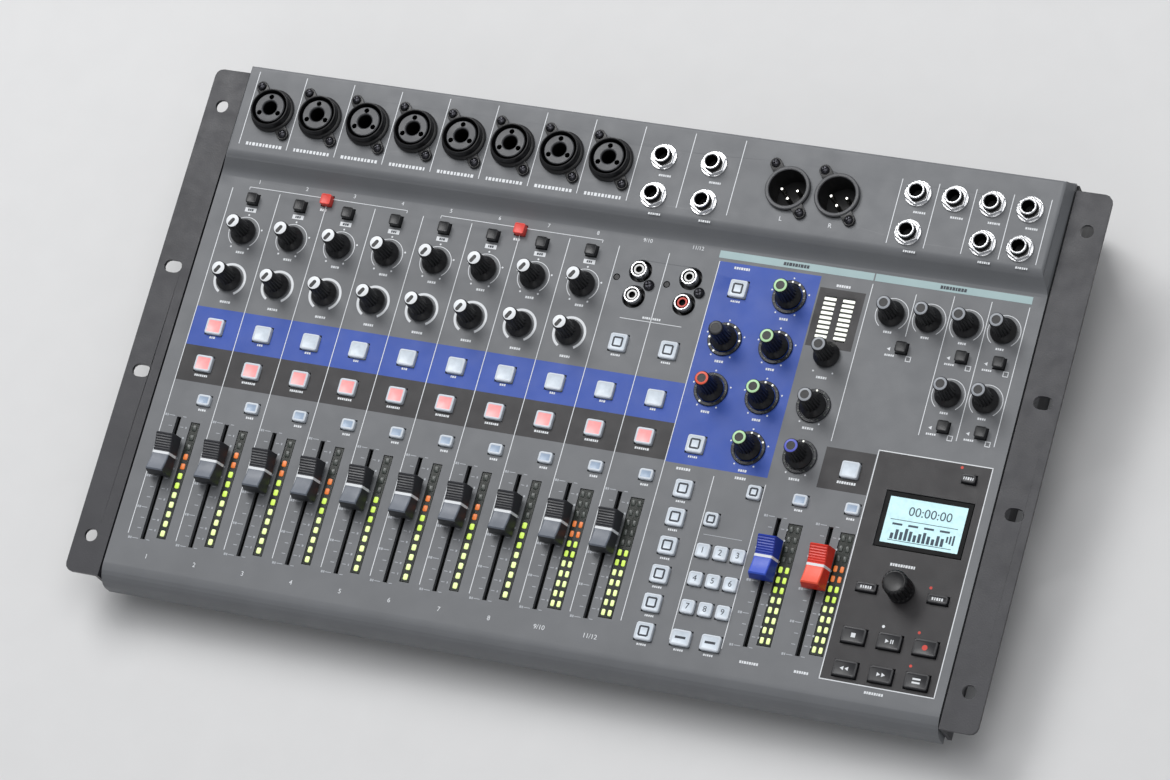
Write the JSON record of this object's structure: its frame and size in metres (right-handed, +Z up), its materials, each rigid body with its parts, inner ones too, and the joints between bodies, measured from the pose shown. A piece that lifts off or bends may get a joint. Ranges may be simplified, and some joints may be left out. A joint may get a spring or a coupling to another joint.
{
  "type": "digital mixer recorder",
  "caption": "Desktop digital mixer and recorder with sloping grey control panel, raised socket deck, faders, knobs, lit keys, display and black rack ears.",
  "frame": {"origin": "middle of the footprint, on the table under the feet", "axes": "+X to the user's right across the channels, +Y to the rear, +Z up"},
  "size_m": [0.4826, 0.2821, 0.067],
  "materials": {
    "cover": "textured moulded plastic, mid grey, with printed lines and coloured areas",
    "case": "textured black moulded plastic",
    "ears": "black powder coat",
    "feet": "matt black rubber",
    "steel": "plated screws and socket nuts",
    "boards": "green solder mask",
    "displays": "clear windows over lit displays",
    "sockets": "black moulded socket bodies",
    "lit_keys": "translucent silicone, lit from inside",
    "pale_keys": "pale translucent silicone",
    "black_keys": "black keys and switch caps",
    "knobs": "soft black knob with a pale cap",
    "caps": "dark grey fader cap with a white line",
    "blue_cap": "blue fader cap",
    "red_cap": "red fader cap"
  },
  "bodies": {
    "console": {"top_cover": "cover", "lower_case": "case", "rack_ears": "ears", "rubber_feet": "feet", "fasteners": "steel", "circuit_boards": "boards", "displays": "displays", "combo_sockets": "sockets", "phone_sockets": "sockets", "line_sockets": "sockets", "rear_sockets": "sockets"},
    "gain_knob_1": {"gain_knob_1": "knobs"},
    "gain_knob_2": {"gain_knob_2": "knobs"},
    "gain_knob_3": {"gain_knob_3": "knobs"},
    "gain_knob_4": {"gain_knob_4": "knobs"},
    "gain_knob_5": {"gain_knob_5": "knobs"},
    "gain_knob_6": {"gain_knob_6": "knobs"},
    "gain_knob_7": {"gain_knob_7": "knobs"},
    "gain_knob_8": {"gain_knob_8": "knobs"},
    "comp_knob_1": {"comp_knob_1": "knobs"},
    "comp_knob_2": {"comp_knob_2": "knobs"},
    "comp_knob_3": {"comp_knob_3": "knobs"},
    "comp_knob_4": {"comp_knob_4": "knobs"},
    "comp_knob_5": {"comp_knob_5": "knobs"},
    "comp_knob_6": {"comp_knob_6": "knobs"},
    "comp_knob_7": {"comp_knob_7": "knobs"},
    "comp_knob_8": {"comp_knob_8": "knobs"},
    "high_knob": {"high_knob": "knobs"},
    "frequency_knob": {"frequency_knob": "knobs"},
    "mid_knob": {"mid_knob": "knobs"},
    "effects_knob": {"effects_knob": "knobs"},
    "low_knob": {"low_knob": "knobs"},
    "pan_knob": {"pan_knob": "knobs"},
    "output_knob_1": {"output_knob_1": "knobs"},
    "output_knob_2": {"output_knob_2": "knobs"},
    "output_knob_3": {"output_knob_3": "knobs"},
    "monitor_knob_1": {"monitor_knob_1": "knobs"},
    "monitor_knob_2": {"monitor_knob_2": "knobs"},
    "monitor_knob_3": {"monitor_knob_3": "knobs"},
    "monitor_knob_4": {"monitor_knob_4": "knobs"},
    "monitor_knob_5": {"monitor_knob_5": "knobs"},
    "monitor_knob_6": {"monitor_knob_6": "knobs"},
    "menu_encoder": {"menu_encoder": "knobs"},
    "channel_fader_1": {"channel_fader_1": "caps"},
    "channel_fader_2": {"channel_fader_2": "caps"},
    "channel_fader_3": {"channel_fader_3": "caps"},
    "channel_fader_4": {"channel_fader_4": "caps"},
    "channel_fader_5": {"channel_fader_5": "caps"},
    "channel_fader_6": {"channel_fader_6": "caps"},
    "channel_fader_7": {"channel_fader_7": "caps"},
    "channel_fader_8": {"channel_fader_8": "caps"},
    "channel_fader_9": {"channel_fader_9": "caps"},
    "channel_fader_10": {"channel_fader_10": "caps"},
    "effects_fader": {"effects_fader": "blue_cap"},
    "master_fader": {"master_fader": "red_cap"},
    "channel_keys": {"channel_keys": "lit_keys"},
    "mode_keys": {"mode_keys": "pale_keys"},
    "recorder_keys": {"recorder_keys": "black_keys"},
    "push_switches": {"push_switches": "black_keys"},
    "power_switch": {"power_switch": "black_keys"}
  },
  "joints": [
    {"name": "gain_knob_1_turn", "type": "hinge", "parent": "console", "child": "gain_knob_1", "pos_m": [-0.1996, 0.04981, 0.04663], "axis": [0, -0.0872, 0.9962], "range_deg": [-300, 0]},
    {"name": "gain_knob_2_turn", "type": "hinge", "parent": "console", "child": "gain_knob_2", "pos_m": [-0.1729, 0.04981, 0.04663], "axis": [0, -0.0872, 0.9962], "range_deg": [-300, 0]},
    {"name": "gain_knob_3_turn", "type": "hinge", "parent": "console", "child": "gain_knob_3", "pos_m": [-0.1462, 0.04981, 0.04663], "axis": [0, -0.0872, 0.9962], "range_deg": [-300, 0]},
    {"name": "gain_knob_4_turn", "type": "hinge", "parent": "console", "child": "gain_knob_4", "pos_m": [-0.1195, 0.04981, 0.04663], "axis": [0, -0.0872, 0.9962], "range_deg": [-300, 0]},
    {"name": "gain_knob_5_turn", "type": "hinge", "parent": "console", "child": "gain_knob_5", "pos_m": [-0.0928, 0.04981, 0.04663], "axis": [0, -0.0872, 0.9962], "range_deg": [-300, 0]},
    {"name": "gain_knob_6_turn", "type": "hinge", "parent": "console", "child": "gain_knob_6", "pos_m": [-0.0661, 0.04981, 0.04663], "axis": [0, -0.0872, 0.9962], "range_deg": [-300, 0]},
    {"name": "gain_knob_7_turn", "type": "hinge", "parent": "console", "child": "gain_knob_7", "pos_m": [-0.0394, 0.04981, 0.04663], "axis": [0, -0.0872, 0.9962], "range_deg": [-300, 0]},
    {"name": "gain_knob_8_turn", "type": "hinge", "parent": "console", "child": "gain_knob_8", "pos_m": [-0.0127, 0.04981, 0.04663], "axis": [0, -0.0872, 0.9962], "range_deg": [-300, 0]},
    {"name": "comp_knob_1_turn", "type": "hinge", "parent": "console", "child": "comp_knob_1", "pos_m": [-0.1996, 0.02411, 0.04438], "axis": [0, -0.0872, 0.9962], "range_deg": [-300, 0]},
    {"name": "comp_knob_2_turn", "type": "hinge", "parent": "console", "child": "comp_knob_2", "pos_m": [-0.1729, 0.02411, 0.04438], "axis": [0, -0.0872, 0.9962], "range_deg": [-300, 0]},
    {"name": "comp_knob_3_turn", "type": "hinge", "parent": "console", "child": "comp_knob_3", "pos_m": [-0.1462, 0.02411, 0.04438], "axis": [0, -0.0872, 0.9962], "range_deg": [-300, 0]},
    {"name": "comp_knob_4_turn", "type": "hinge", "parent": "console", "child": "comp_knob_4", "pos_m": [-0.1195, 0.02411, 0.04438], "axis": [0, -0.0872, 0.9962], "range_deg": [-300, 0]},
    {"name": "comp_knob_5_turn", "type": "hinge", "parent": "console", "child": "comp_knob_5", "pos_m": [-0.0928, 0.02411, 0.04438], "axis": [0, -0.0872, 0.9962], "range_deg": [-300, 0]},
    {"name": "comp_knob_6_turn", "type": "hinge", "parent": "console", "child": "comp_knob_6", "pos_m": [-0.0661, 0.02411, 0.04438], "axis": [0, -0.0872, 0.9962], "range_deg": [-300, 0]},
    {"name": "comp_knob_7_turn", "type": "hinge", "parent": "console", "child": "comp_knob_7", "pos_m": [-0.0394, 0.02411, 0.04438], "axis": [0, -0.0872, 0.9962], "range_deg": [-300, 0]},
    {"name": "comp_knob_8_turn", "type": "hinge", "parent": "console", "child": "comp_knob_8", "pos_m": [-0.0127, 0.02411, 0.04438], "axis": [0, -0.0872, 0.9962], "range_deg": [-300, 0]},
    {"name": "high_knob_turn", "type": "hinge", "parent": "console", "child": "high_knob", "pos_m": [0.0941, 0.05957, 0.04749], "axis": [0, -0.0872, 0.9962], "range_deg": [-150, 150]},
    {"name": "frequency_knob_turn", "type": "hinge", "parent": "console", "child": "frequency_knob", "pos_m": [0.0674, 0.03327, 0.04519], "axis": [0, -0.0872, 0.9962], "range_deg": [-150, 150]},
    {"name": "mid_knob_turn", "type": "hinge", "parent": "console", "child": "mid_knob", "pos_m": [0.0941, 0.03327, 0.04519], "axis": [0, -0.0872, 0.9962], "range_deg": [-150, 150]},
    {"name": "effects_knob_turn", "type": "hinge", "parent": "console", "child": "effects_knob", "pos_m": [0.0674, 0.00697, 0.04288], "axis": [0, -0.0872, 0.9962], "range_deg": [-300, 0]},
    {"name": "low_knob_turn", "type": "hinge", "parent": "console", "child": "low_knob", "pos_m": [0.0941, 0.00697, 0.04288], "axis": [0, -0.0872, 0.9962], "range_deg": [-150, 150]},
    {"name": "pan_knob_turn", "type": "hinge", "parent": "console", "child": "pan_knob", "pos_m": [0.0941, -0.01933, 0.04058], "axis": [0, -0.0872, 0.9962], "range_deg": [-150, 150]},
    {"name": "output_knob_1_turn", "type": "hinge", "parent": "console", "child": "output_knob_1", "pos_m": [0.1208, 0.03327, 0.04519], "axis": [0, -0.0872, 0.9962], "range_deg": [-300, 0]},
    {"name": "output_knob_2_turn", "type": "hinge", "parent": "console", "child": "output_knob_2", "pos_m": [0.1208, 0.00697, 0.04288], "axis": [0, -0.0872, 0.9962], "range_deg": [-300, 0]},
    {"name": "output_knob_3_turn", "type": "hinge", "parent": "console", "child": "output_knob_3", "pos_m": [0.1208, -0.01933, 0.04058], "axis": [0, -0.0872, 0.9962], "range_deg": [-300, 0]},
    {"name": "monitor_knob_1_turn", "type": "hinge", "parent": "console", "child": "monitor_knob_1", "pos_m": [0.1475, 0.05877, 0.04742], "axis": [0, -0.0872, 0.9962], "range_deg": [-300, 0]},
    {"name": "monitor_knob_2_turn", "type": "hinge", "parent": "console", "child": "monitor_knob_2", "pos_m": [0.1666, 0.05877, 0.04742], "axis": [0, -0.0872, 0.9962], "range_deg": [-300, 0]},
    {"name": "monitor_knob_3_turn", "type": "hinge", "parent": "console", "child": "monitor_knob_3", "pos_m": [0.1857, 0.05877, 0.04742], "axis": [0, -0.0872, 0.9962], "range_deg": [-300, 0]},
    {"name": "monitor_knob_4_turn", "type": "hinge", "parent": "console", "child": "monitor_knob_4", "pos_m": [0.2048, 0.05877, 0.04742], "axis": [0, -0.0872, 0.9962], "range_deg": [-300, 0]},
    {"name": "monitor_knob_5_turn", "type": "hinge", "parent": "console", "child": "monitor_knob_5", "pos_m": [0.1857, 0.02291, 0.04428], "axis": [0, -0.0872, 0.9962], "range_deg": [-300, 0]},
    {"name": "monitor_knob_6_turn", "type": "hinge", "parent": "console", "child": "monitor_knob_6", "pos_m": [0.2048, 0.02291, 0.04428], "axis": [0, -0.0872, 0.9962], "range_deg": [-300, 0]},
    {"name": "menu_encoder_turn", "type": "hinge", "parent": "console", "child": "menu_encoder", "pos_m": [0.18766, -0.07626, 0.0356], "axis": [0, -0.0872, 0.9962], "continuous": true},
    {"name": "channel_fader_1_slide", "type": "slide", "parent": "console", "child": "channel_fader_1", "axis": [0, 0.9962, 0.0872], "range_m": [-0.0407, 0.0193]},
    {"name": "channel_fader_2_slide", "type": "slide", "parent": "console", "child": "channel_fader_2", "axis": [0, 0.9962, 0.0872], "range_m": [-0.0407, 0.0193]},
    {"name": "channel_fader_3_slide", "type": "slide", "parent": "console", "child": "channel_fader_3", "axis": [0, 0.9962, 0.0872], "range_m": [-0.0407, 0.0193]},
    {"name": "channel_fader_4_slide", "type": "slide", "parent": "console", "child": "channel_fader_4", "axis": [0, 0.9962, 0.0872], "range_m": [-0.0407, 0.0193]},
    {"name": "channel_fader_5_slide", "type": "slide", "parent": "console", "child": "channel_fader_5", "axis": [0, 0.9962, 0.0872], "range_m": [-0.0407, 0.0193]},
    {"name": "channel_fader_6_slide", "type": "slide", "parent": "console", "child": "channel_fader_6", "axis": [0, 0.9962, 0.0872], "range_m": [-0.0407, 0.0193]},
    {"name": "channel_fader_7_slide", "type": "slide", "parent": "console", "child": "channel_fader_7", "axis": [0, 0.9962, 0.0872], "range_m": [-0.0407, 0.0193]},
    {"name": "channel_fader_8_slide", "type": "slide", "parent": "console", "child": "channel_fader_8", "axis": [0, 0.9962, 0.0872], "range_m": [-0.0407, 0.0193]},
    {"name": "channel_fader_9_slide", "type": "slide", "parent": "console", "child": "channel_fader_9", "axis": [0, 0.9962, 0.0872], "range_m": [-0.0407, 0.0193]},
    {"name": "channel_fader_10_slide", "type": "slide", "parent": "console", "child": "channel_fader_10", "axis": [0, 0.9962, 0.0872], "range_m": [-0.0407, 0.0193]},
    {"name": "effects_fader_slide", "type": "slide", "parent": "console", "child": "effects_fader", "axis": [0, 0.9962, 0.0872], "range_m": [-0.0407, 0.0193]},
    {"name": "master_fader_slide", "type": "slide", "parent": "console", "child": "master_fader", "axis": [0, 0.9962, 0.0872], "range_m": [-0.0407, 0.0193]},
    {"name": "channel_keys_press", "type": "slide", "parent": "console", "child": "channel_keys", "axis": [0, 0.0872, -0.9962], "range_m": [0, 0.001], "stiffness_N_per_m": 1500, "springref_m": -0.001},
    {"name": "mode_keys_press", "type": "slide", "parent": "console", "child": "mode_keys", "axis": [0, 0.0872, -0.9962], "range_m": [0, 0.001], "stiffness_N_per_m": 1500, "springref_m": -0.001},
    {"name": "recorder_keys_press", "type": "slide", "parent": "console", "child": "recorder_keys", "axis": [0, 0.0872, -0.9962], "range_m": [0, 0.001], "stiffness_N_per_m": 1500, "springref_m": -0.001},
    {"name": "push_switches_press", "type": "slide", "parent": "console", "child": "push_switches", "axis": [0, 0.0872, -0.9962], "range_m": [0, 0.0015], "stiffness_N_per_m": 1200, "springref_m": -0.001},
    {"name": "power_switch_slide", "type": "slide", "parent": "console", "child": "power_switch", "axis": [-1, 0, 0], "range_m": [0, 0.004]}
  ]
}
